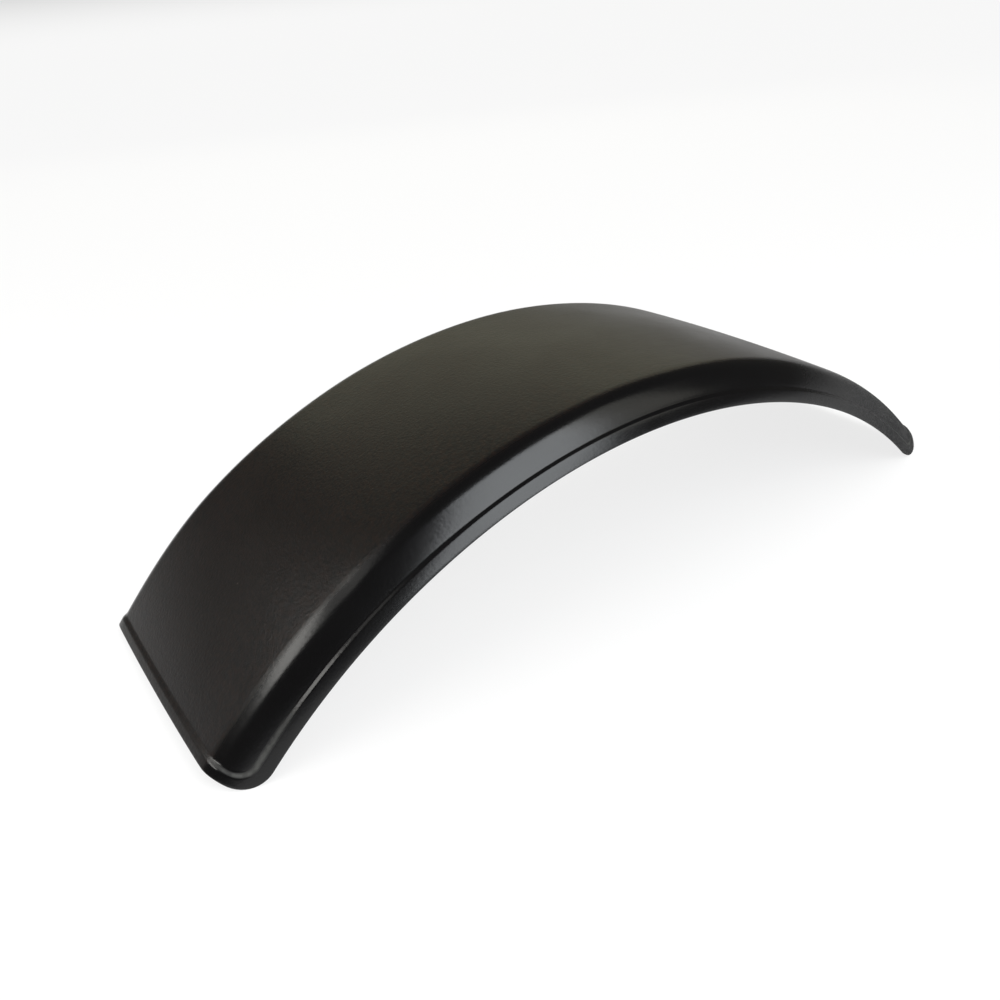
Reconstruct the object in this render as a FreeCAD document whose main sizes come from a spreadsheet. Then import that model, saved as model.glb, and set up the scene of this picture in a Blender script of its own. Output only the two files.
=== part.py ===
import FreeCAD, Part
import math
import os
import Sketcher

# Moulded trailer mudguard: an arched panel with round shoulders and sloping skirts.
# A step all round its edge leaves a lip that stands proud of the panel.
# The arch is modelled about the axle line (Y), then set down on its four lower corners.

Vector = FreeCAD.Vector
doc = FreeCAD.newDocument("mudguard")

# Driving dimensions, in millimetres and degrees
SIZES = {
    "crown_radius": 378.0,          # top of the panel above the axle line
    "arch_angle": 94.6,             # end to end about the axle line
    "across_radius": 2110.0,        # slight bulge of the panel across its width
    "shoulder_spacing": 151.0,      # between the centres of the two shoulder rounds
    "shoulder_radius": 15.5,
    "skirt_slope": 45.5,            # below the level, where the shoulder ends
    "skirt_radius": 40.0,           # bulge of the skirt from shoulder to lip
    "skirt_depth": 24.4,            # lip edge below the top of the panel
    "wall_thickness": 3.0,
    "step_height": 2.0,             # lip proud of the panel
    "side_lip": 7.9,                # lip height along the skirts
    "end_lip": 6.6,                 # lip length along the arch at each end
    "lip_corner_radius": 17.0,
    "step_corner_radius": 9.5,
    "overcut": 2.0,                 # how far cutting profiles run past what they cut
}

sheet = doc.addObject("Spreadsheet::Sheet", "sizes")
for row, (alias, value) in enumerate(SIZES.items(), start=1):
    sheet.set(f"A{row}", alias)
    sheet.set(f"B{row}", str(value))
    sheet.setAlias(f"B{row}", alias)
doc.recompute()


def size(alias):
    return float(sheet.get(alias))


# Places that follow from the driving dimensions: each value with its expression
half_angle = math.radians(size("arch_angle") / 2)
lip_radius = size("crown_radius") - size("skirt_depth")
step_radius = lip_radius + size("side_lip")
relief_radius = step_radius - size("wall_thickness")
end_lip_angle = size("end_lip") / size("crown_radius")
wall_angle = size("wall_thickness") / size("crown_radius")
cut_foot = lip_radius - size("overcut")

LIP_RADIUS = "(sizes.crown_radius - sizes.skirt_depth)"
STEP_RADIUS = f"({LIP_RADIUS} + sizes.side_lip)"
RELIEF_RADIUS = f"({STEP_RADIUS} - sizes.wall_thickness)"
END_LIP_ANGLE = "(sizes.end_lip / sizes.crown_radius * 180 / pi)"
WALL_ANGLE = "(sizes.wall_thickness / sizes.crown_radius * 180 / pi)"
CUT_FOOT = f"({LIP_RADIUS} - sizes.overcut)"
BLANK_ANGLE = "(sizes.arch_angle + 2 * sizes.overcut / sizes.crown_radius * 180 / pi)"

# Centres of the section's rounds, in the section plane: across the width, above the axle
crown_centre = size("crown_radius") - size("across_radius")
shoulder_y = size("shoulder_spacing") / 2
shoulder_z = crown_centre + math.sqrt(
    (size("across_radius") - size("shoulder_radius")) ** 2 - shoulder_y ** 2)
skirt_reach = size("skirt_radius") - size("shoulder_radius")
skirt_slope = math.radians(size("skirt_slope"))
skirt_y = shoulder_y - skirt_reach * math.sin(skirt_slope)
skirt_z = shoulder_z - skirt_reach * math.cos(skirt_slope)

SKIRT_SHIFT = "((sizes.skirt_radius - sizes.shoulder_radius) * sin(sizes.skirt_slope * 1 deg))"

START, END, CENTRE = range(1, 4)
ORIGIN = (-1, 1)
VERTICAL_AXIS = -2


def origin_plane(body, role):
    return next(plane for plane in body.Origin.OriginFeatures if plane.Role == role)


def section_sketch(body, name):
    """A sketch across the arch at mid length: sketch x is Y, sketch y is Z."""
    sketch = body.newObject("Sketcher::SketchObject", name)
    sketch.AttachmentSupport = [(origin_plane(body, "YZ_Plane"), "")]
    sketch.MapMode = "FlatFace"
    return sketch


def dimension(sketch, name, kind, references, expression, value):
    index = sketch.addConstraint(Sketcher.Constraint(kind, *references, value))
    sketch.renameConstraint(index, name)
    sketch.setExpression(f"Constraints.{name}", expression)


def join(sketch, first, first_point, second, second_point, kind="Coincident"):
    sketch.addConstraint(Sketcher.Constraint(kind, first, first_point, second, second_point))


def add_arc(sketch, centre, radius, start, end):
    circle = Part.Circle(Vector(*centre, 0), Vector(0, 0, 1), radius)
    return sketch.addGeometry(Part.ArcOfCircle(circle, start, end), False)


def add_line(sketch, start, end):
    return sketch.addGeometry(Part.LineSegment(Vector(*start, 0), Vector(*end, 0)), False)


def section_curve(sketch, name, offset, offset_expression, foot, foot_expression):
    """The section's five tangent arcs, moved out by offset and ending at the foot height.

    Returns the skirt arcs: the right one starts and the left one ends at its foot.
    """
    crown_size = size("across_radius") + offset
    shoulder_size = size("shoulder_radius") + offset
    skirt_size = size("skirt_radius") + offset
    upright = math.pi / 2
    tilt = math.asin(shoulder_y / (size("across_radius") - size("shoulder_radius")))
    foot_tilt = math.acos((foot - skirt_z) / skirt_size)

    right_skirt = add_arc(sketch, (skirt_y, skirt_z), skirt_size,
                          upright - foot_tilt, upright - skirt_slope)
    right_shoulder = add_arc(sketch, (shoulder_y, shoulder_z), shoulder_size,
                             upright - skirt_slope, upright - tilt)
    crown = add_arc(sketch, (0, crown_centre), crown_size, upright - tilt, upright + tilt)
    left_shoulder = add_arc(sketch, (-shoulder_y, shoulder_z), shoulder_size,
                            upright + tilt, upright + skirt_slope)
    left_skirt = add_arc(sketch, (-skirt_y, skirt_z), skirt_size,
                         upright + skirt_slope, upright + foot_tilt)
    chain = [right_skirt, right_shoulder, crown, left_shoulder, left_skirt]
    for first, second in zip(chain, chain[1:]):
        join(sketch, first, END, second, START, "Tangent")

    sketch.addConstraint(Sketcher.Constraint("PointOnObject", crown, CENTRE, VERTICAL_AXIS))
    dimension(sketch, f"{name}_crown_centre", "DistanceY", (crown, CENTRE, *ORIGIN),
              "sizes.across_radius - sizes.crown_radius", -crown_centre)
    dimension(sketch, f"{name}_crown_radius", "Radius", (crown,),
              f"sizes.across_radius + {offset_expression}", crown_size)
    dimension(sketch, f"{name}_shoulder_radius", "Radius", (right_shoulder,),
              f"sizes.shoulder_radius + {offset_expression}", shoulder_size)
    dimension(sketch, f"{name}_skirt_radius", "Radius", (right_skirt,),
              f"sizes.skirt_radius + {offset_expression}", skirt_size)
    sketch.addConstraint(Sketcher.Constraint("Equal", right_shoulder, left_shoulder))
    sketch.addConstraint(Sketcher.Constraint("Equal", right_skirt, left_skirt))
    dimension(sketch, f"{name}_right_shoulder", "DistanceX", (*ORIGIN, right_shoulder, CENTRE),
              "sizes.shoulder_spacing / 2", shoulder_y)
    dimension(sketch, f"{name}_left_shoulder", "DistanceX", (left_shoulder, CENTRE, *ORIGIN),
              "sizes.shoulder_spacing / 2", shoulder_y)
    skirt_shift = shoulder_y - skirt_y
    dimension(sketch, f"{name}_right_slope", "DistanceX",
              (right_skirt, CENTRE, right_shoulder, CENTRE), SKIRT_SHIFT, skirt_shift)
    dimension(sketch, f"{name}_left_slope", "DistanceX",
              (left_shoulder, CENTRE, left_skirt, CENTRE), SKIRT_SHIFT, skirt_shift)
    dimension(sketch, f"{name}_right_foot", "DistanceY", (*ORIGIN, right_skirt, START),
              foot_expression, foot)
    dimension(sketch, f"{name}_left_foot", "DistanceY", (*ORIGIN, left_skirt, END),
              foot_expression, foot)
    return right_skirt, left_skirt


def close_feet(sketch, outer, inner):
    """Join the feet of two section curves, so that they bound one profile."""
    for outer_skirt, inner_skirt, foot_end in zip(outer, inner, (START, END)):
        line = add_line(sketch, sketch.getPoint(outer_skirt, foot_end)[:2],
                        sketch.getPoint(inner_skirt, foot_end)[:2])
        join(sketch, line, START, outer_skirt, foot_end)
        join(sketch, line, END, inner_skirt, foot_end)


def close_across(sketch, skirts):
    """Join the two feet of one section curve, so that it bounds all that lies under it."""
    right_skirt, left_skirt = skirts
    line = add_line(sketch, sketch.getPoint(left_skirt, END)[:2],
                    sketch.getPoint(right_skirt, START)[:2])
    join(sketch, line, START, left_skirt, END)
    join(sketch, line, END, right_skirt, START)


def side_loop(body, name, radius, radius_expression, span, span_expression,
              corner, corner_expression):
    """A loop seen from the side: everything above one radius within one span of the arch."""
    sketch = body.newObject("Sketcher::SketchObject", name)
    sketch.AttachmentSupport = [(origin_plane(body, "XZ_Plane"), "")]
    sketch.MapMode = "FlatFace"
    top_radius = size("crown_radius") + size("step_height") + size("overcut")
    upright = math.pi / 2
    half = span / 2
    inset = math.asin(corner / (radius + corner))
    line_start = math.sqrt((radius + corner) ** 2 - corner ** 2)

    def polar(distance, angle):
        return (distance * math.cos(angle), distance * math.sin(angle))

    low = add_arc(sketch, (0, 0), radius, upright - half + inset, upright + half - inset)
    right_corner = add_arc(sketch, polar(radius + corner, upright - half + inset), corner,
                           3 * upright - half + inset, 4 * upright - half)
    right = add_line(sketch, polar(line_start, upright - half), polar(top_radius, upright - half))
    top = add_arc(sketch, (0, 0), top_radius, upright - half, upright + half)
    left = add_line(sketch, polar(line_start, upright + half), polar(top_radius, upright + half))
    left_corner = add_arc(sketch, polar(radius + corner, upright + half - inset), corner,
                          2 * upright + half, 3 * upright + half - inset)
    join(sketch, low, START, right_corner, START, "Tangent")
    join(sketch, right_corner, END, right, START, "Tangent")
    join(sketch, right, END, top, START)
    join(sketch, top, END, left, END)
    join(sketch, left, START, left_corner, START, "Tangent")
    join(sketch, left_corner, END, low, END, "Tangent")
    join(sketch, low, CENTRE, *ORIGIN)
    join(sketch, top, CENTRE, *ORIGIN)
    for line in (right, left):
        sketch.addConstraint(Sketcher.Constraint("PointOnObject", *ORIGIN, line))
    sketch.addConstraint(Sketcher.Constraint("Horizontal", top, START, top, END))
    sketch.addConstraint(Sketcher.Constraint("Equal", right_corner, left_corner))
    dimension(sketch, "low_radius", "Radius", (low,), radius_expression, radius)
    dimension(sketch, "top_radius", "Radius", (top,),
              "sizes.crown_radius + sizes.step_height + sizes.overcut", top_radius)
    dimension(sketch, "corner_radius", "Radius", (right_corner,), corner_expression, corner)
    dimension(sketch, "span", "Angle", (right, START, left, START), span_expression, span)
    return sketch


def turned(body, kind, name, sketch, angle_expression):
    """Turn a section about the axle line, half to each side, to add it or to cut it away."""
    feature = body.newObject(f"PartDesign::{kind}", name)
    feature.Profile = sketch
    feature.ReferenceAxis = (sketch, ["H_Axis"])
    feature.Midplane = True
    feature.setExpression("Angle", angle_expression)
    doc.recompute()
    return feature


def across(body, kind, name, sketch):
    """Run a side loop right across the width, to add it or to cut it away."""
    feature = body.newObject(f"PartDesign::{kind}", name)
    feature.Profile = sketch
    feature.Midplane = True
    feature.setExpression("Length", "sizes.shoulder_spacing + 2 * sizes.skirt_radius")
    doc.recompute()
    return feature


def combine(body, kind, name, tool):
    feature = body.newObject("PartDesign::Boolean", name)
    feature.Type = kind
    feature.setObjects([tool])
    doc.recompute()
    return feature


def new_body(label):
    body = doc.addObject("PartDesign::Body", label.title().replace("_", ""))
    body.Label = label
    return body


# Outline tool: the guard's outline from the side
outline_tool = new_body("outline_tool")
loop = side_loop(outline_tool, "lip_loop", lip_radius, LIP_RADIUS, 2 * half_angle,
                 "sizes.arch_angle", size("lip_corner_radius"), "sizes.lip_corner_radius")
across(outline_tool, "Pad", "outline", loop)

# Recess tool: all that lies above the panel, within the step
recess_tool = new_body("recess_tool")
loop = side_loop(recess_tool, "step_loop", step_radius, STEP_RADIUS,
                 2 * (half_angle - end_lip_angle), f"sizes.arch_angle - 2 * {END_LIP_ANGLE}",
                 size("step_corner_radius"), "sizes.step_corner_radius")
across(recess_tool, "Pad", "within_step", loop)
sketch = section_sketch(recess_tool, "panel_section")
panel = section_curve(sketch, "panel", 0.0, "0", cut_foot, CUT_FOOT)
close_across(sketch, panel)
turned(recess_tool, "Groove", "above_panel", sketch, "sizes.arch_angle")

# Relief tool: all that lies under the lip, outside the step and the wall under it
relief_tool = new_body("relief_tool")
sketch = section_sketch(relief_tool, "lip_underside_section")
lip_underside = section_curve(sketch, "lip_underside",
                              size("step_height") - size("wall_thickness"),
                              "(sizes.step_height - sizes.wall_thickness)", cut_foot, CUT_FOOT)
close_across(sketch, lip_underside)
turned(relief_tool, "Revolution", "under_lip", sketch, BLANK_ANGLE)
loop = side_loop(relief_tool, "relief_loop", relief_radius, RELIEF_RADIUS,
                 2 * (half_angle - end_lip_angle + wall_angle),
                 f"sizes.arch_angle - 2 * {END_LIP_ANGLE} + 2 * {WALL_ANGLE}",
                 size("step_corner_radius") + size("wall_thickness"),
                 "sizes.step_corner_radius + sizes.wall_thickness")
across(relief_tool, "Pocket", "outside_step", loop)

# Mudguard: a thick blank, trimmed to its outline and thinned above the panel and under the lip
mudguard = new_body("mudguard")
sketch = section_sketch(mudguard, "blank_section")
lip_top = section_curve(sketch, "lip_top", size("step_height"), "sizes.step_height",
                        cut_foot, CUT_FOOT)
underside = section_curve(sketch, "underside", -size("wall_thickness"),
                          "(-sizes.wall_thickness)", cut_foot, CUT_FOOT)
close_feet(sketch, lip_top, underside)
blank = turned(mudguard, "Revolution", "blank", sketch, BLANK_ANGLE)
trimmed = combine(mudguard, "Common", "trimmed", outline_tool)
recessed = combine(mudguard, "Cut", "recessed", recess_tool)
relieved = combine(mudguard, "Cut", "relieved", relief_tool)

# The guard stands on its four rounded lower corners, with its middle over the origin
CORNER_CENTRE = f"({LIP_RADIUS} + sizes.lip_corner_radius)"
mudguard.setExpression(
    "Placement.Base.z",
    f"sizes.lip_corner_radius - {CORNER_CENTRE}"
    f" * cos(sizes.arch_angle * 1 deg / 2 - asin(sizes.lip_corner_radius / {CORNER_CENTRE}))")
doc.recompute()

for item in doc.Objects:
    if "Invalid" in item.State or "Error" in item.State:
        raise RuntimeError(f"{item.Label} failed: {item.State}")
if mudguard.Shape.isNull() or not mudguard.Shape.isValid():
    raise RuntimeError("mudguard has no valid shape")

os.makedirs("parts", exist_ok=True)
mudguard.Shape.exportStep(f"parts/{mudguard.Label}.step")
box = mudguard.Shape.optimalBoundingBox()
print(f"length {box.XLength:.1f}, width {box.YLength:.1f}, height {box.ZLength:.1f}")
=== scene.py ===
import math

import bmesh
import bpy
import numpy as np
from mathutils import Matrix, Vector


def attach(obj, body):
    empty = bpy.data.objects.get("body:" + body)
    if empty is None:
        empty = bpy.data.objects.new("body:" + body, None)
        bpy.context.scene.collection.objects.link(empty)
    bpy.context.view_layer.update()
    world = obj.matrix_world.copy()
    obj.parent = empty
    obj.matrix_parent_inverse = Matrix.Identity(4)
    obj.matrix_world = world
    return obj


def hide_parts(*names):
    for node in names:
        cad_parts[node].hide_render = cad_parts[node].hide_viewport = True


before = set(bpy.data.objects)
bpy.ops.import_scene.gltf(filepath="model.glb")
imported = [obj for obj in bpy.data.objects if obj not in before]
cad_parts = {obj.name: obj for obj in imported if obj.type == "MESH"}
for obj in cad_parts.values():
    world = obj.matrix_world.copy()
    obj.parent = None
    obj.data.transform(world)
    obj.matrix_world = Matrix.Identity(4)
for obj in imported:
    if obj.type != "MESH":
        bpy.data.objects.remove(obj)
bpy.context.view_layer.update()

MM = 0.001

# Sizes of the moulding, in millimetres and degrees.
# The crown and lip radii run from the axle line.
CROWN_RADIUS = 378.0
LIP_RADIUS = 353.6
HALF_ANGLE = 47.3
ACROSS_RADIUS = 2110.0
SHOULDER_Y = 75.5
SHOULDER_RADIUS = 15.5
SKIRT_SLOPE = 45.5
SKIRT_RADIUS = 40.0
WALL = 3.0
STEP = 2.0
END_STEP = 1.1
SIDE_LIP = 7.9
END_LIP = 6.6
LIP_FLARE = 0.7
LIP_CORNER = 17.0
STEP_CORNER = 9.5
EDGE_ROUND = 0.7

# The step is an S between the lip and the panel, crisp along the sides and soft over the ends.
# Half its width, as a share of the lip
STEP_HALF_SPAN = 0.11
END_HALF_SPAN = 0.30

# How the cooled moulding departs from its sizes, in millimetres and degrees.
# Each wave has a length along the arch and one across it, per radian.
WAVE_HEIGHT = 0.2
BROAD_WAVE = (31.0, 37.0)
BROAD_PHASE = (0.6, 1.1)
SLANTED_WAVE = (17.0, 23.0)
BODY_RISE = 14.0
LOW_CORNER = 3.3
LOW_CORNER_SHIFT = 4.1
LOW_CORNER_START = 33.0
LOW_CORNER_WIDTH = 170.0
PINCH_ALONG = -199.0
PINCH_ACROSS = -81.0
PINCH_LENGTH = 9.0
PINCH_WIDTH = 7.0
PINCH_DEPTH = 0.45

# Finish: lengths in millimetres, half widths as shares of the lip
PLASTIC_IOR = 1.42
SKIRT_BLACK = (0.0022, 0.0021, 0.0024)
PANEL_BLACK = (0.0085, 0.0044, 0.0032)
PANEL_EDGE = 82.0
PANEL_FADE = 5.0
WORN_BLACK = (0.0075, 0.0075, 0.0075)
WORN_HALF_WIDTH = 0.3
WORN_SHARE = 0.5
# Painted highlight on the step's ledge round the corners: its pale colour, half width, reach along the
# sides and ends, and dullness
STEP_HIGHLIGHT_PAINT = (0.044, 0.044, 0.042)
HIGHLIGHT_PAINT_HALF_WIDTH = 0.22
HIGHLIGHT_PAINT_ALONG = 45.0
HIGHLIGHT_PAINT_ACROSS = 13.0
HIGHLIGHT_PAINT_DULLNESS = 0.5
SPECK = (0.045, 0.04, 0.035)
SPECK_SCALE = 34
SPECK_RIM = (0.010, 0.019)
SPECK_CHOICE = (0.90, 0.91)
SKIRT_ROUGHNESS = 0.20
PANEL_ROUGHNESS = 0.38
REAR_WEAR = (130.0, 270.0)
REAR_DULLNESS = 0.5
SKIRT_RELIEF = 0.25
PANEL_RELIEF = 0.9
PEEL_HEIGHT = 0.04
GRAIN_HEIGHT = 0.2

# Noise patterns: scale per metre, detail and roughness
CLOUD = (17, 4, 0.5)
STREAK = (260, 3, 0.5)
STREAK_STRETCH = (0.08, 1, 1)
MOTTLE = (480, 4, 0.7)
PATCHES = (330, 3, 0.5)
GRIT = (1100, 2, 0.5)
PEEL = (190, 1, 0.5)
GRAIN = (520, 3, 0.65)

# The part of a pattern that is used, and what it is carried over to
NOISE_SPAN = (0.3, 0.7)
MOTTLE_SPAN = (0.42, 0.60)
PATCH_SPAN = (0.3, 0.6)
FULL_SPAN = (0, 1)
CLOUD_TO_DUST = (0.6, 1.0)
PATCH_TO_HIGHLIGHT_PAINT = (0.45, 1.0)
CLOUD_TO_ROUGHNESS = (-0.03, 0.03)
STREAK_TO_ROUGHNESS = (-0.008, 0.008)
GRIT_TO_WEAR = (0.4, 1.6)

# Studio, in metres and degrees. A floor line is a point and the way ahead of it
WORLD_LIGHT = 0.075
WORLD_COLOUR = (1.0, 0.97, 0.84, 1)
OVERHEAD_LIGHT = 2.7
OVERHEAD_SPREAD = 70
# Painted shade on the floor: grey in front of the floor lines, so the skirts and lip that face it mirror
# a darker floor
FLOOR_PAINTED_SHADE = 0.28
FLOOR_PALE = 0.7
WHITE_SHARE = 0.8
FLAT_FLOOR = 9.0
FLOOR_REACH = 14.0
RIM_HEIGHT = 1.4
FADE_LENGTH = 0.6
FLOOR_LINES = (((-0.382, -0.148), (-0.605, -0.797)), ((-0.392, -0.138), (-0.987, 0.158)))
SENSOR_WIDTH = 36.0
LENS = 33.41
CAMERA_PLACE = (-0.32163, -0.44557, 0.33697)
CAMERA_RIGHT = Vector((0.82148, -0.56507, -0.07661))
CAMERA_UP = Vector((0.33688, 0.37250, 0.86474))

# Grid: cells along the arch, over half the crown, over one shoulder, round a corner and round
# half the rim
LONG_CELLS = 220
CROWN_CELLS = 16
SHOULDER_CELLS = 14
CORNER_CELLS = 14
RIM_CELLS = 6

# Cells before the step, over its soft, crisp and soft stretch, and after it
STEP_CELLS = (6, 7, 14, 7, 4)

# Points closer than this are joined, in millimetres
WELD = 0.01

# Cells round the floor and up its rim
FLOOR_SPIN_CELLS = 96
FLOOR_RIM_CELLS = 12

# The section is sampled from its middle to past the lip, in millimetres
SECTION_REACH = 125.0
SECTION_CELLS = 5000

# Signs that take turn, width and height to the other side, and half a turn round
OTHER_SIDE = np.array([[1], [-1], [1]])
HALF_TURN = np.array([[-1], [-1], [1]])

# The axle line lies below the floor, which the four rounded corners stand on
lip_turn = math.radians(HALF_ANGLE) - math.asin(LIP_CORNER / (LIP_RADIUS + LIP_CORNER))
axle_drop = (LIP_RADIUS + LIP_CORNER) * math.cos(lip_turn) - LIP_CORNER


# Section across the arch

crown_centre = CROWN_RADIUS - ACROSS_RADIUS
shoulder_z = crown_centre + math.sqrt((ACROSS_RADIUS - SHOULDER_RADIUS) ** 2 - SHOULDER_Y ** 2)
slope = math.radians(SKIRT_SLOPE)
skirt_y = SHOULDER_Y - (SKIRT_RADIUS - SHOULDER_RADIUS) * math.sin(slope)
skirt_z = shoulder_z - (SKIRT_RADIUS - SHOULDER_RADIUS) * math.cos(slope)
crown_tilt = math.asin(SHOULDER_Y / (ACROSS_RADIUS - SHOULDER_RADIUS))
crown_length = ACROSS_RADIUS * crown_tilt
shoulder_length = SHOULDER_RADIUS * (slope - crown_tilt)
section_lengths = np.linspace(0, SECTION_REACH, SECTION_CELLS + 1)


def section(across, offset):
    """Half section: width and height at a length from the middle, moved out by offset."""
    across = np.asarray(across, float)
    on_crown = across / ACROSS_RADIUS
    on_shoulder = crown_tilt + (across - crown_length) / SHOULDER_RADIUS
    on_skirt = slope + (across - crown_length - shoulder_length) / SKIRT_RADIUS
    crown = across < crown_length
    shoulder = across < crown_length + shoulder_length
    tilt = np.where(crown, on_crown, np.where(shoulder, on_shoulder, on_skirt))
    centre_y = np.where(crown, 0.0, np.where(shoulder, SHOULDER_Y, skirt_y))
    centre_z = np.where(crown, crown_centre, np.where(shoulder, shoulder_z, skirt_z))
    radius = np.where(crown, ACROSS_RADIUS, np.where(shoulder, SHOULDER_RADIUS, SKIRT_RADIUS))
    return (centre_y + (radius + offset) * np.sin(tilt),
            centre_z + (radius + offset) * np.cos(tilt))


def across_at(height, offset):
    """Length from the middle at which the section, moved out by offset, has this height."""
    heights = section(section_lengths, offset)[1]
    return np.interp(-np.asarray(height, float), -heights, section_lengths)


# Rings round the edge: ring 0 is the outline, ring 1 the step, the last one a square corner

SQUARE_RING = LIP_CORNER / (LIP_CORNER - STEP_CORNER)


def ring_shape(ring):
    """Radius of a ring's low line, half its angle about the axle, and its corner radius."""
    radius = LIP_RADIUS + SIDE_LIP * ring
    half = math.radians(HALF_ANGLE) - END_LIP / CROWN_RADIUS * ring
    corner = max(LIP_CORNER - (LIP_CORNER - STEP_CORNER) * ring, 0.0)
    return radius, half, corner


along_shares = np.linspace(-1, 1, LONG_CELLS + 1)
crown_share = crown_length / across_at(ring_shape(SQUARE_RING)[0], 0.0)
half_shares = np.concatenate([np.linspace(0, crown_share, CROWN_CELLS + 1)[:-1],
                              np.linspace(crown_share, 1, SHOULDER_CELLS + 1)])
across_shares = np.concatenate([-half_shares[:0:-1], half_shares])


def ring_half(ring, offset):
    """Half a ring from the near side to the far one, as turn about the axle, width and height."""
    radius, half, corner = ring_shape(ring)
    inset = math.asin(corner / (radius + corner))
    line_start = math.sqrt((radius + corner) ** 2 - corner ** 2)

    low_turn = (half - inset) * along_shares
    low_height = np.full_like(low_turn, radius)
    sweep = math.pi + half - inset - np.linspace(0, math.pi / 2 + inset, CORNER_CELLS + 1)[1:-1]
    corner_x = (radius + corner) * math.sin(half - inset) + corner * np.sin(sweep)
    corner_z = (radius + corner) * math.cos(half - inset) + corner * np.cos(sweep)
    end_across = across_at(line_start, offset) * across_shares

    def outward(heights):
        return section(across_at(heights, offset), offset)[0]

    corner_height = np.hypot(corner_x, corner_z)
    corner_turn = np.arctan2(corner_x, corner_z)
    end_y, end_height = section(np.abs(end_across), offset)
    side = np.stack([low_turn, -outward(low_height), low_height])
    near_corner = np.stack([corner_turn, -outward(corner_height), corner_height])
    end = np.stack([np.full_like(end_y, half), end_y * np.sign(end_across), end_height])
    far_corner = (near_corner * OTHER_SIDE)[:, ::-1]
    return np.concatenate([side, near_corner, end, far_corner], axis=1)


def smooth(share):
    """A share held between 0 and 1, and eased in and out."""
    share = np.clip(share, 0, 1)
    return share * share * (3 - 2 * share)


corner_blend = smooth(np.linspace(0, 1, CORNER_CELLS + 1)[1:-1])
end_blend = np.concatenate([np.zeros(len(along_shares)), corner_blend,
                            np.ones(len(across_shares)), corner_blend[::-1]])


def ring_points(ring, middle, depth):
    """One closed ring, raised by its share of a step that grows softer round each corner."""
    side_step = STEP - LIP_FLARE * min(ring, 1.0)
    step = side_step + (END_STEP - side_step) * end_blend
    half_span = STEP_HALF_SPAN + (END_HALF_SPAN - STEP_HALF_SPAN) * end_blend
    share = step / STEP * (1 - smooth((ring - middle + half_span) / (2 * half_span)))
    half = ring_half(ring, -depth) * (1 - share) + ring_half(ring, STEP - depth) * share
    return np.concatenate([half, half * HALF_TURN], axis=1)


# Profile from the panel over the lip, round the rim and back along the underside.
# Each station is a ring, the middle of its step, and a depth below the outer skin.
under_step = 1 - WALL / SIDE_LIP
edge_share = EDGE_ROUND / SIDE_LIP


def rings_through(start, middle, end):
    """Rings from start to end, closer together where they cross the step."""
    way = math.copysign(1, end - start)
    near, far = way * STEP_HALF_SPAN, way * END_HALF_SPAN
    marks = [start, middle - far, middle - near, middle + near, middle + far, end]
    spans = [np.linspace(a, b, count + 1)[1:] for a, b, count in zip(marks, marks[1:], STEP_CELLS)]
    return np.concatenate([[start]] + spans)


outer_rings = rings_through(SQUARE_RING, 1.0, edge_share)
inner_rings = rings_through(edge_share, under_step, SQUARE_RING)[1:]
rim_angles = np.linspace(0, math.pi / 2, RIM_CELLS + 1)
stations = [(ring, 1.0, 0.0) for ring in outer_rings]
stations += [(edge_share * (1 - math.sin(a)), 1.0, EDGE_ROUND * (1 - math.cos(a)))
             for a in rim_angles[1:]]
stations += [(edge_share * (1 - math.sin(a)), under_step, WALL - EDGE_ROUND * (1 - math.cos(a)))
             for a in rim_angles[::-1]]
stations += [(ring, under_step, WALL) for ring in inner_rings]


def panel_points(offset):
    """The inside of the square ring: a grid of points, along the arch by across it."""
    radius, half = ring_shape(SQUARE_RING)[:2]
    across = across_at(radius, offset) * across_shares
    y, height = section(np.abs(across), offset)
    shape = (len(along_shares), len(y))
    return np.stack([np.broadcast_to(half * along_shares[:, None], shape),
                     np.broadcast_to(y * np.sign(across), shape),
                     np.broadcast_to(height, shape)]).reshape(3, -1)


def relax(points):
    """What the cooled moulding does: faint waves, one low corner and a pinch in a shoulder."""
    turn, y, height = points
    along = turn * CROWN_RADIUS
    broad = np.sin(along / BROAD_WAVE[0] + BROAD_PHASE[0]) * np.sin(y / BROAD_WAVE[1] + BROAD_PHASE[1])
    wave = (broad + np.sin(along / SLANTED_WAVE[0] + y / SLANTED_WAVE[1])) / 2
    body = smooth((height - LIP_RADIUS - SIDE_LIP) / BODY_RISE)
    drop = WAVE_HEIGHT * (1 + wave) / 2 * body
    low_end = smooth((-np.degrees(turn) - LOW_CORNER_START) / (HALF_ANGLE - LOW_CORNER_START))
    low_share = low_end * np.clip(y / LOW_CORNER_WIDTH + 0.5, 0, 1) * body
    drop = drop + LOW_CORNER * low_share
    turn = turn - LOW_CORNER_SHIFT / CROWN_RADIUS * low_share
    pinch = np.exp(-((along - PINCH_ALONG) / PINCH_LENGTH) ** 2 - ((y - PINCH_ACROSS) / PINCH_WIDTH) ** 2)
    drop = drop + PINCH_DEPTH * pinch
    return np.stack([turn, y, height - drop])


def to_metres(points):
    """Places of the relaxed points in the frame."""
    turn, y, height = relax(points)
    return np.stack([height * np.sin(turn), y, height * np.cos(turn) - axle_drop], axis=1) * MM


def unrolled(points):
    """The same points with the arch laid straight, for patterns that follow the moulding."""
    turn, y, height = points
    return np.stack([turn * CROWN_RADIUS, y, height - CROWN_RADIUS], axis=1) * MM


def upper_share(points):
    """1 on the panel and 0 on the skirts."""
    return smooth((PANEL_EDGE - np.abs(points[1])) / PANEL_FADE)


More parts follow.
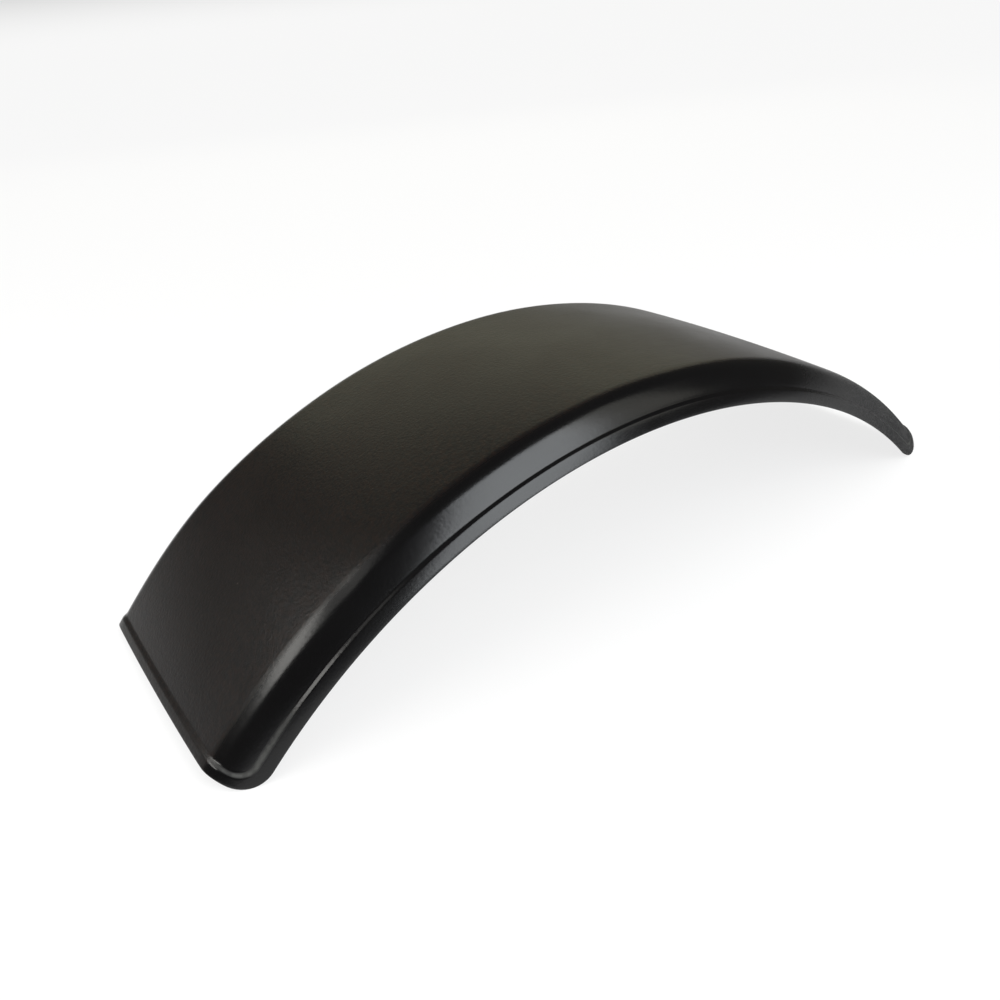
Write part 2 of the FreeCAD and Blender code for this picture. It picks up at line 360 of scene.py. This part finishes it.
# Painted highlight on the step's ledge: how far it reaches, full round the corners and dying out along
# the sides and ends
side_length = 2 * math.radians(HALF_ANGLE) * LIP_RADIUS
end_width = 2 * (SHOULDER_Y + SHOULDER_RADIUS)
along_highlight_paint = smooth(1 - (1 - np.abs(along_shares)) * side_length / 2 / HIGHLIGHT_PAINT_ALONG)
across_highlight_paint = smooth(1 - (1 - np.abs(across_shares)) * end_width / 2 / HIGHLIGHT_PAINT_ACROSS)
half_highlight_paint = np.concatenate([along_highlight_paint, np.ones(CORNER_CELLS - 1),
                             across_highlight_paint, np.ones(CORNER_CELLS - 1)])
ring_highlight_paint = np.concatenate([half_highlight_paint, half_highlight_paint])


def shell_marks(panels, rings):
    """Values at each point for the finish: the upper skin, the worn rim and the painted highlight on the
    step.
    """
    upper = [upper_share(panels[0]), np.zeros(panels[1].shape[1])]
    worn = [np.zeros(points.shape[1]) for points in panels]
    painted_highlight = [np.zeros(points.shape[1]) for points in panels]
    for points, (ring, middle, depth) in zip(rings, stations):
        outer = depth < WALL / 2
        rim_share = float(smooth(1 - abs(ring - edge_share / 2) / WORN_HALF_WIDTH))
        step_highlight_share = smooth(1 - abs(ring - 1) / HIGHLIGHT_PAINT_HALF_WIDTH)
        upper.append(upper_share(points) * outer)
        worn.append(np.full(points.shape[1], rim_share))
        painted_highlight.append(ring_highlight_paint * step_highlight_share * outer)
    return {"upper": upper, "worn": worn, "painted_highlight": painted_highlight}


def shell_faces(columns, rows, levels, ring_size):
    """Quads of the outer and inner panel, and of the band of rings from one to the other."""
    inner_start = columns * rows
    ring_start = 2 * columns * rows
    faces = []
    for column in range(columns - 1):
        for row in range(rows - 1):
            a = column * rows + row
            quad = (a, a + rows, a + rows + 1, a + 1)
            faces.append(quad)
            faces.append(tuple(inner_start + v for v in reversed(quad)))
    for level in range(levels - 1):
        upper_ring = ring_start + level * ring_size
        lower_ring = upper_ring + ring_size
        for k in range(ring_size):
            after = (k + 1) % ring_size
            faces.append((upper_ring + k, lower_ring + k, lower_ring + after, upper_ring + after))
    return faces


def place_mesh(name, mesh):
    """A smooth-shaded object in the scene."""
    for polygon in mesh.polygons:
        polygon.use_smooth = True
    item = bpy.data.objects.new(name, mesh)
    bpy.context.collection.objects.link(item)
    return item


def build_shell(name):
    """The guard as one closed mesh. The band of rings is welded to the border of each panel."""
    panels = [panel_points(0.0), panel_points(-WALL)]
    rings = [ring_points(*station) for station in stations]
    parts = panels + rings
    faces = shell_faces(len(along_shares), len(across_shares), len(rings), rings[0].shape[1])
    mesh = bpy.data.meshes.new(name)
    mesh.from_pydata(np.concatenate([to_metres(p) for p in parts]).tolist(), [], faces)
    laid = mesh.attributes.new("unrolled", "FLOAT_VECTOR", "POINT")
    laid.data.foreach_set("vector", np.concatenate([unrolled(p) for p in parts]).ravel())
    for mark, values in shell_marks(panels, rings).items():
        layer = mesh.attributes.new(mark, "FLOAT", "POINT")
        layer.data.foreach_set("value", np.concatenate(values))

    work = bmesh.new()
    work.from_mesh(mesh)
    bmesh.ops.remove_doubles(work, verts=work.verts, dist=WELD * MM)
    bmesh.ops.recalc_face_normals(work, faces=work.faces)
    work.to_mesh(mesh)
    work.free()
    return place_mesh(name, mesh)


shell = build_shell("mudguard_shell")
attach(shell, "root")
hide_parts("mudguard")


# Material

class Graph:
    """The nodes of one material. Each method adds a node and returns the socket that it gives."""

    def __init__(self, name):
        self.material = bpy.data.materials.new(name)
        self.material.use_nodes = True
        self.nodes = self.material.node_tree.nodes
        self.links = self.material.node_tree.links

    def fill(self, socket, value):
        """Link a socket to another one, or set its colour or number."""
        if isinstance(value, bpy.types.NodeSocket):
            self.links.new(value, socket)
        elif isinstance(value, tuple):
            socket.default_value = (*value, 1)
        else:
            socket.default_value = value

    def attribute(self, name, output="Fac"):
        node = self.nodes.new("ShaderNodeAttribute")
        node.attribute_name = name
        return node.outputs[output]

    def noise(self, vector, scale, detail, roughness):
        node = self.nodes.new("ShaderNodeTexNoise")
        node.inputs["Scale"].default_value = scale
        node.inputs["Detail"].default_value = detail
        node.inputs["Roughness"].default_value = roughness
        self.links.new(vector, node.inputs["Vector"])
        return node.outputs["Fac"]

    def stretched(self, vector, scale):
        node = self.nodes.new("ShaderNodeMapping")
        node.inputs["Scale"].default_value = scale
        self.links.new(vector, node.inputs["Vector"])
        return node.outputs["Vector"]

    def axes(self, vector):
        node = self.nodes.new("ShaderNodeSeparateXYZ")
        self.links.new(vector, node.inputs[0])
        return node.outputs

    def remap(self, value, source, target, blend="LINEAR"):
        node = self.nodes.new("ShaderNodeMapRange")
        node.interpolation_type = blend
        names = ("From Min", "From Max", "To Min", "To Max")
        for name, number in zip(names, (*source, *target)):
            node.inputs[name].default_value = number
        self.links.new(value, node.inputs["Value"])
        return node.outputs["Result"]

    def combine(self, operation, first, second):
        node = self.nodes.new("ShaderNodeMath")
        node.operation = operation
        self.fill(node.inputs[0], first)
        self.fill(node.inputs[1], second)
        return node.outputs[0]

    def mix(self, share, first, second):
        node = self.nodes.new("ShaderNodeMix")
        node.data_type = "RGBA"
        self.links.new(share, node.inputs["Factor"])
        colours = [socket for socket in node.inputs if socket.type == "RGBA"]
        self.fill(colours[0], first)
        self.fill(colours[1], second)
        return [socket for socket in node.outputs if socket.type == "RGBA"][0]

    def bump(self, height, distance, strength, normal=None):
        node = self.nodes.new("ShaderNodeBump")
        node.inputs["Distance"].default_value = distance
        self.links.new(strength, node.inputs["Strength"])
        self.links.new(height, node.inputs["Height"])
        if normal is not None:
            self.links.new(normal, node.inputs["Normal"])
        return node.outputs["Normal"]


def speck_share(graph, laid, upper):
    """Small dots on the panel, in a few cells of a cell pattern."""
    cells = graph.nodes.new("ShaderNodeTexVoronoi")
    cells.voronoi_dimensions = "2D"
    cells.inputs["Scale"].default_value = SPECK_SCALE
    graph.links.new(laid, cells.inputs["Vector"])
    dot = graph.remap(cells.outputs["Distance"], SPECK_RIM, (1, 0))
    split = graph.nodes.new("ShaderNodeSeparateColor")
    graph.links.new(cells.outputs["Color"], split.inputs["Color"])
    chosen = graph.remap(split.outputs["Red"], SPECK_CHOICE, FULL_SPAN)
    return graph.combine("MULTIPLY", graph.combine("MULTIPLY", dot, chosen), upper)


def plastic_colour(graph, laid, cloud, upper, worn, painted_highlight):
    """Black, with dust on the panel, a worn rim, a painted highlight on the step round the corners and a
    few specks.
    """
    mottle = graph.noise(laid, *MOTTLE)
    dust = graph.combine("MULTIPLY", upper, graph.remap(cloud, NOISE_SPAN, CLOUD_TO_DUST))
    dust = graph.combine("MULTIPLY", dust, graph.remap(mottle, MOTTLE_SPAN, FULL_SPAN))
    colour = graph.mix(dust, SKIRT_BLACK, PANEL_BLACK)
    colour = graph.mix(graph.remap(worn, FULL_SPAN, (0, WORN_SHARE)), colour, WORN_BLACK)
    patches = graph.remap(graph.noise(laid, *PATCHES), PATCH_SPAN, PATCH_TO_HIGHLIGHT_PAINT)
    # Painted highlight: a pale colour in patches on the step's ledge round the corners
    colour = graph.mix(graph.combine("MULTIPLY", painted_highlight, patches), colour, STEP_HIGHLIGHT_PAINT)
    return graph.mix(speck_share(graph, laid, upper), colour, SPECK)


def plastic_roughness(graph, laid, cloud, upper, painted_highlight):
    """Glossier on the skirts, dull on the panel and on the step's painted highlight, gritty on the skirts
    at the rear.
    """
    streak = graph.noise(graph.stretched(laid, STREAK_STRETCH), *STREAK)
    grit = graph.remap(graph.noise(laid, *GRIT), NOISE_SPAN, GRIT_TO_WEAR)
    rear_span = [place * MM for place in REAR_WEAR]
    rear = graph.remap(graph.axes(laid)["X"], rear_span, (0, REAR_DULLNESS))
    rear = graph.combine("MULTIPLY", rear, graph.remap(upper, FULL_SPAN, (1, 0)))
    rough = graph.remap(upper, FULL_SPAN, (SKIRT_ROUGHNESS, PANEL_ROUGHNESS))
    for change in (graph.remap(cloud, NOISE_SPAN, CLOUD_TO_ROUGHNESS),
                   graph.remap(streak, NOISE_SPAN, STREAK_TO_ROUGHNESS),
                   graph.remap(painted_highlight, FULL_SPAN, (0, HIGHLIGHT_PAINT_DULLNESS)),
                   graph.combine("MULTIPLY", rear, grit)):
        rough = graph.combine("ADD", rough, change)
    return rough


def plastic_relief(graph, laid, upper):
    """A soft peel under a fine grain, both stronger on the panel."""
    strength = graph.remap(upper, FULL_SPAN, (SKIRT_RELIEF, PANEL_RELIEF))
    peel = graph.bump(graph.noise(laid, *PEEL), PEEL_HEIGHT * MM, strength)
    return graph.bump(graph.noise(laid, *GRAIN), GRAIN_HEIGHT * MM, strength, peel)


def plastic():
    """Black polyethylene: glossier on the skirts, dull and a little dusty on the panel."""
    graph = Graph("black_plastic")
    laid = graph.attribute("unrolled", "Vector")
    upper = graph.attribute("upper")
    worn = graph.attribute("worn")
    painted_highlight = graph.attribute("painted_highlight")
    cloud = graph.noise(laid, *CLOUD)
    inputs = graph.nodes["Principled BSDF"].inputs
    inputs["IOR"].default_value = PLASTIC_IOR
    graph.links.new(plastic_colour(graph, laid, cloud, upper, worn, painted_highlight), inputs["Base Color"])
    graph.links.new(plastic_roughness(graph, laid, cloud, upper, painted_highlight), inputs["Roughness"])
    graph.links.new(plastic_relief(graph, laid, upper), inputs["Normal"])
    return graph.material


shell.data.materials.append(plastic())


# Floor, lights and camera

def floor_painted_shade_tone(graph):
    """White behind two lines on the floor, painted shade falling to grey in front of them, and dark up
    the rim.
    """
    place = graph.axes(graph.nodes.new("ShaderNodeTexCoord").outputs["Object"])
    distances = []
    for point, ahead in FLOOR_LINES:
        along_x = graph.combine("MULTIPLY", place["X"], ahead[0])
        along_y = graph.combine("MULTIPLY", place["Y"], ahead[1])
        start = point[0] * ahead[0] + point[1] * ahead[1]
        distances.append(graph.combine("SUBTRACT", graph.combine("ADD", along_x, along_y), start))
    past = graph.combine("MAXIMUM", *distances)
    # Painted shade: the floor falls to grey in front of the lines
    front = graph.remap(past, (0, FADE_LENGTH), (1, FLOOR_PAINTED_SHADE), "SMOOTHSTEP")
    rim = graph.remap(place["Z"], (0, RIM_HEIGHT), (1, WORLD_LIGHT), "SMOOTHSTEP")
    return graph.combine("MINIMUM", front, rim)


def floor_material():
    """Mostly white light where it is seen or mirrored, matt for the light that falls on it."""
    graph = Graph("floor")
    graph.nodes.clear()
    out = graph.nodes.new("ShaderNodeOutputMaterial")
    mix = graph.nodes.new("ShaderNodeMixShader")
    matt = graph.nodes.new("ShaderNodeBsdfDiffuse")
    white = graph.nodes.new("ShaderNodeEmission")
    tone = floor_painted_shade_tone(graph)
    graph.links.new(tone, white.inputs["Strength"])
    graph.links.new(graph.combine("MULTIPLY", tone, FLOOR_PALE), matt.inputs["Color"])
    path = graph.nodes.new("ShaderNodeLightPath").outputs
    seen = graph.combine("MAXIMUM", path["Is Camera Ray"], path["Is Glossy Ray"])
    seen = graph.combine("MAXIMUM", seen, path["Is Transmission Ray"])
    graph.links.new(graph.combine("MULTIPLY", seen, WHITE_SHARE), mix.inputs["Fac"])
    graph.links.new(matt.outputs[0], mix.inputs[1])
    graph.links.new(white.outputs[0], mix.inputs[2])
    graph.links.new(mix.outputs[0], out.inputs["Surface"])
    return graph.material


def bowl(name, flat, reach, rise, material):
    """A round floor with a rim that sweeps up all round."""
    spin = FLOOR_SPIN_CELLS
    rings = [(flat, 0.0)]
    rings += [(flat + (reach - flat) * math.sin(a), rise * (1 - math.cos(a)))
              for a in np.linspace(0, math.pi / 2, FLOOR_RIM_CELLS + 1)[1:]]
    verts = [(r * math.cos(t), r * math.sin(t), z) for r, z in rings
             for t in np.linspace(0, 2 * math.pi, spin, endpoint=False)]
    faces = [tuple(range(spin))]
    for level in range(len(rings) - 1):
        for k in range(spin):
            a, b = level * spin + k, level * spin + (k + 1) % spin
            faces.append((a, a + spin, b + spin, b))
    mesh = bpy.data.meshes.new(name)
    mesh.from_pydata(verts, [], faces)
    mesh.materials.append(material)
    item = place_mesh(name, mesh)


bowl("floor", FLAT_FLOOR, FLOOR_REACH, RIM_HEIGHT, floor_material())

scene = bpy.context.scene
scene.view_settings.view_transform = "Standard"
world = bpy.data.worlds.new("studio")
scene.world = world
world.use_nodes = True
background = world.node_tree.nodes["Background"]
background.inputs["Color"].default_value = WORLD_COLOUR
background.inputs["Strength"].default_value = WORLD_LIGHT


def softbox(name, azimuth, elevation, distance, target, size, radiance, colour):
    """A lamp seen from the target at an azimuth from the front towards +X, and an elevation."""
    a, e = math.radians(azimuth), math.radians(elevation)
    way = Vector((math.sin(a) * math.cos(e), -math.cos(a) * math.cos(e), math.sin(e)))
    lamp = bpy.data.lights.new(name, "AREA")
    lamp.shape = "RECTANGLE"
    lamp.size, lamp.size_y = size
    lamp.color = colour
    lamp.energy = radiance * math.pi * size[0] * size[1]
    item = bpy.data.objects.new(name, lamp)
    bpy.context.collection.objects.link(item)
    item.location = Vector(target) + way * distance
    item.rotation_euler = (-way).to_track_quat("-Z", "Y").to_euler()


softbox("front_window", azimuth=15, elevation=29, distance=1.5, target=(-0.05, -0.09, 0.09),
        size=(0.86, 1.74), radiance=5.9, colour=(0.93, 0.97, 1.0))
softbox("left_strip", azimuth=-102, elevation=44, distance=1.3, target=(-0.24, -0.08, 0.05),
        size=(1.45, 0.34), radiance=6.2, colour=(1.0, 0.99, 0.95))
softbox("left_upper", azimuth=-101, elevation=61, distance=1.3, target=(-0.2, -0.08, 0.08),
        size=(1.0, 0.28), radiance=0.95, colour=(1.0, 0.99, 0.95))
softbox("right_fill", azimuth=42, elevation=38, distance=1.6, target=(0.02, -0.09, 0.12),
        size=(0.52, 1.2), radiance=1.1, colour=(1.0, 0.98, 0.88))
softbox("back_fill", azimuth=153, elevation=25, distance=2.0, target=(0.0, 0.0, 0.12),
        size=(2.4, 0.95), radiance=0.73, colour=(1.0, 0.985, 0.74))

# An even light from above for the floor and the object's shadow, which no surface mirrors
sky_lamp = bpy.data.lights.new("overhead", "SUN")
sky_lamp.energy = OVERHEAD_LIGHT
sky_lamp.angle = math.radians(OVERHEAD_SPREAD)
sky = bpy.data.objects.new("overhead", sky_lamp)
sky.visible_glossy = False
bpy.context.collection.objects.link(sky)

camera_data = bpy.data.cameras.new("camera")
camera_data.sensor_width = SENSOR_WIDTH
camera_data.lens = LENS
camera = bpy.data.objects.new("camera", camera_data)
bpy.context.collection.objects.link(camera)
camera_axes = Matrix((CAMERA_RIGHT, CAMERA_UP, CAMERA_RIGHT.cross(CAMERA_UP))).transposed()
camera.matrix_world = Matrix.Translation(CAMERA_PLACE) @ camera_axes.to_4x4()
scene.camera = camera
